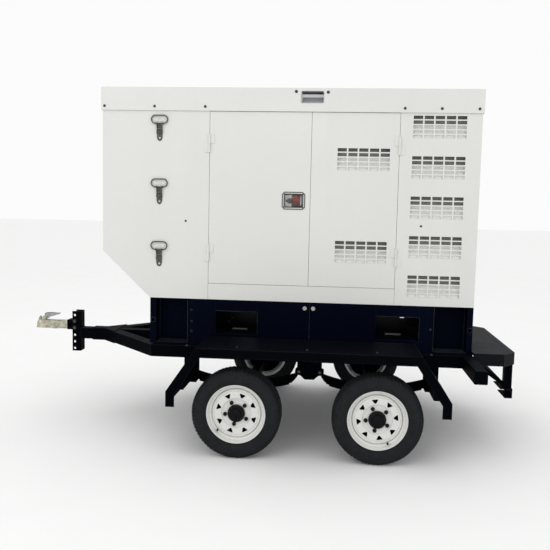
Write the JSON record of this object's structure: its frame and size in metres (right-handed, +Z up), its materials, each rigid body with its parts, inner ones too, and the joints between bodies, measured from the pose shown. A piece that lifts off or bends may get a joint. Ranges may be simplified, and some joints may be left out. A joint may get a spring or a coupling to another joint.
{
  "type": "towable diesel generator",
  "caption": "Diesel generator set in a white sound-proof canopy on a dark base, carried by a tandem-axle drawbar trailer with fenders and a height-adjustable ball coupler.",
  "frame": {"origin": "on the ground, under the middle of the overall length and width", "axes": "+Z up, -X towards the coupler (forward), +X towards the rear deck, -Y the left side"},
  "size_m": [3.428, 1.944, 2.3099],
  "materials": {
    "chassis_black": "semi-gloss black paint",
    "zinc_plate": "zinc plated, slightly yellow",
    "base_navy": "gloss blue-black paint",
    "tank_steel": "satin black paint",
    "canopy_white": "semi-gloss warm white powder coat",
    "stainless": "brushed stainless",
    "tyre_rubber": "matt",
    "rim_white": "gloss white enamel",
    "hub_black": "satin black",
    "engine_paint": "satin blue-grey paint",
    "radiator_black": "matt black",
    "muffler_steel": "heat-stained steel",
    "cabinet_grey": "satin grey powder coat"
  },
  "bodies": {
    "chassis": {"a_frame_legs": "chassis_black", "alternator": "engine_paint", "axle_beams": "chassis_black", "base_frame": "base_navy", "chain_loops": "chassis_black", "control_panel": "cabinet_grey", "coupler_body": "zinc_plate", "coupler_bolts": "zinc_plate", "coupler_channel": "chassis_black", "cross_members": "chassis_black", "door_hinges": "canopy_white", "engine_block": "engine_paint", "equalisers": "chassis_black", "fender_supports": "chassis_black", "fenders": "chassis_black", "fuel_tank": "tank_steel", "leaf_springs": "chassis_black", "lifting_bars": "stainless", "muffler": "muffler_steel", "nose_panel": "canopy_white", "outrigger_tubes": "chassis_black", "radiator": "radiator_black", "rear_bumper": "chassis_black", "rear_deck": "chassis_black", "rear_posts": "chassis_black", "rear_wall": "canopy_white", "roof_cover": "canopy_white", "side_panels": "canopy_white", "side_rails": "chassis_black", "spring_hangers": "chassis_black", "toggle_bases": "stainless", "tongue_tube": "chassis_black"},
    "wheel_front_left": {"tyre_front_left": "tyre_rubber", "rim_front_left": "rim_white", "hub_front_left": "hub_black"},
    "wheel_front_right": {"tyre_front_right": "tyre_rubber", "rim_front_right": "rim_white", "hub_front_right": "hub_black"},
    "wheel_rear_left": {"tyre_rear_left": "tyre_rubber", "rim_rear_left": "rim_white", "hub_rear_left": "hub_black"},
    "wheel_rear_right": {"tyre_rear_right": "tyre_rubber", "rim_rear_right": "rim_white", "hub_rear_right": "hub_black"},
    "door_front_left": {"door_front_left": "canopy_white"},
    "door_rear_left": {"door_rear_left": "canopy_white"},
    "latch_paddle_left": {"latch_paddle_left": "stainless"},
    "toggle_handle_low_left": {"toggle_handle_low_left": "stainless"},
    "toggle_handle_mid_left": {"toggle_handle_mid_left": "stainless"},
    "toggle_handle_top_left": {"toggle_handle_top_left": "stainless"},
    "door_front_right": {"door_front_right": "canopy_white"},
    "door_rear_right": {"door_rear_right": "canopy_white"},
    "latch_paddle_right": {"latch_paddle_right": "stainless"},
    "toggle_handle_low_right": {"toggle_handle_low_right": "stainless"},
    "toggle_handle_mid_right": {"toggle_handle_mid_right": "stainless"},
    "toggle_handle_top_right": {"toggle_handle_top_right": "stainless"},
    "coupler_lever": {"coupler_lever": "zinc_plate"},
    "coupler_jaw": {"coupler_jaw": "zinc_plate"},
    "cooling_fan": {"cooling_fan": "radiator_black"},
    "crank_pulley": {"crank_pulley": "radiator_black"}
  },
  "joints": [
    {"name": "wheel_spin_front_left", "type": "hinge", "parent": "chassis", "child": "wheel_front_left", "pos_m": [-0.046, -0.877, 0.277], "axis": [0, 1, 0], "continuous": true},
    {"name": "wheel_spin_rear_left", "type": "hinge", "parent": "chassis", "child": "wheel_rear_left", "pos_m": [0.814, -0.877, 0.277], "axis": [0, 1, 0], "continuous": true},
    {"name": "wheel_spin_front_right", "type": "hinge", "parent": "chassis", "child": "wheel_front_right", "pos_m": [-0.046, 0.877, 0.277], "axis": [0, 1, 0], "continuous": true},
    {"name": "wheel_spin_rear_right", "type": "hinge", "parent": "chassis", "child": "wheel_rear_right", "pos_m": [0.814, 0.877, 0.277], "axis": [0, 1, 0], "continuous": true},
    {"name": "door_front_hinge_left", "type": "hinge", "parent": "chassis", "child": "door_front_left", "pos_m": [-0.311, -0.4945, 1.59], "axis": [0, 0, -1], "range_deg": [0, 120]},
    {"name": "door_rear_hinge_left", "type": "hinge", "parent": "chassis", "child": "door_rear_left", "pos_m": [0.924, -0.4945, 1.59], "axis": [0, 0, 1], "range_deg": [0, 120]},
    {"name": "latch_pull_left", "type": "hinge", "parent": "door_front_left", "child": "latch_paddle_left", "pos_m": [0.194, -0.475, 1.5875], "axis": [0, 0, -1], "range_deg": [0, 40]},
    {"name": "toggle_fold_low_left", "type": "hinge", "parent": "chassis", "child": "toggle_handle_low_left", "pos_m": [-0.644, -0.497, 1.246], "axis": [1, 0, 0], "range_deg": [0, 100]},
    {"name": "toggle_fold_mid_left", "type": "hinge", "parent": "chassis", "child": "toggle_handle_mid_left", "pos_m": [-0.644, -0.497, 1.661], "axis": [1, 0, 0], "range_deg": [0, 100]},
    {"name": "toggle_fold_top_left", "type": "hinge", "parent": "chassis", "child": "toggle_handle_top_left", "pos_m": [-0.644, -0.497, 2.076], "axis": [1, 0, 0], "range_deg": [0, 100]},
    {"name": "door_front_hinge_right", "type": "hinge", "parent": "chassis", "child": "door_front_right", "pos_m": [-0.311, 0.4945, 1.59], "axis": [0, 0, 1], "range_deg": [0, 120]},
    {"name": "door_rear_hinge_right", "type": "hinge", "parent": "chassis", "child": "door_rear_right", "pos_m": [0.924, 0.4945, 1.59], "axis": [0, 0, -1], "range_deg": [0, 120]},
    {"name": "latch_pull_right", "type": "hinge", "parent": "door_front_right", "child": "latch_paddle_right", "pos_m": [0.194, 0.475, 1.5875], "axis": [0, 0, 1], "range_deg": [0, 40]},
    {"name": "toggle_fold_low_right", "type": "hinge", "parent": "chassis", "child": "toggle_handle_low_right", "pos_m": [-0.644, 0.497, 1.246], "axis": [-1, 0, 0], "range_deg": [0, 100]},
    {"name": "toggle_fold_mid_right", "type": "hinge", "parent": "chassis", "child": "toggle_handle_mid_right", "pos_m": [-0.644, 0.497, 1.661], "axis": [-1, 0, 0], "range_deg": [0, 100]},
    {"name": "toggle_fold_top_right", "type": "hinge", "parent": "chassis", "child": "toggle_handle_top_right", "pos_m": [-0.644, 0.497, 2.076], "axis": [-1, 0, 0], "range_deg": [0, 100]},
    {"name": "coupler_lever_lift", "type": "hinge", "parent": "chassis", "child": "coupler_lever", "pos_m": [-1.632, 0, 0.678], "axis": [0, -1, 0], "range_deg": [0, 75]},
    {"name": "coupler_jaw_tilt", "type": "hinge", "parent": "chassis", "child": "coupler_jaw", "pos_m": [-1.6246, 0, 0.63], "axis": [0, -1, 0], "range_deg": [0, 15]},
    {"name": "fan_spin", "type": "hinge", "parent": "chassis", "child": "cooling_fan", "pos_m": [-0.4, 0, 1.44], "axis": [1, 0, 0], "continuous": true},
    {"name": "crank_spin", "type": "hinge", "parent": "chassis", "child": "crank_pulley", "pos_m": [-0.236, 0, 1.29], "axis": [1, 0, 0], "continuous": true}
  ],
  "couplings": [
    {"joint": "coupler_jaw_tilt", "follows": "coupler_lever_lift", "ratio": 0.2},
    {"joint": "fan_spin", "follows": "crank_spin", "ratio": 1.3448}
  ]
}
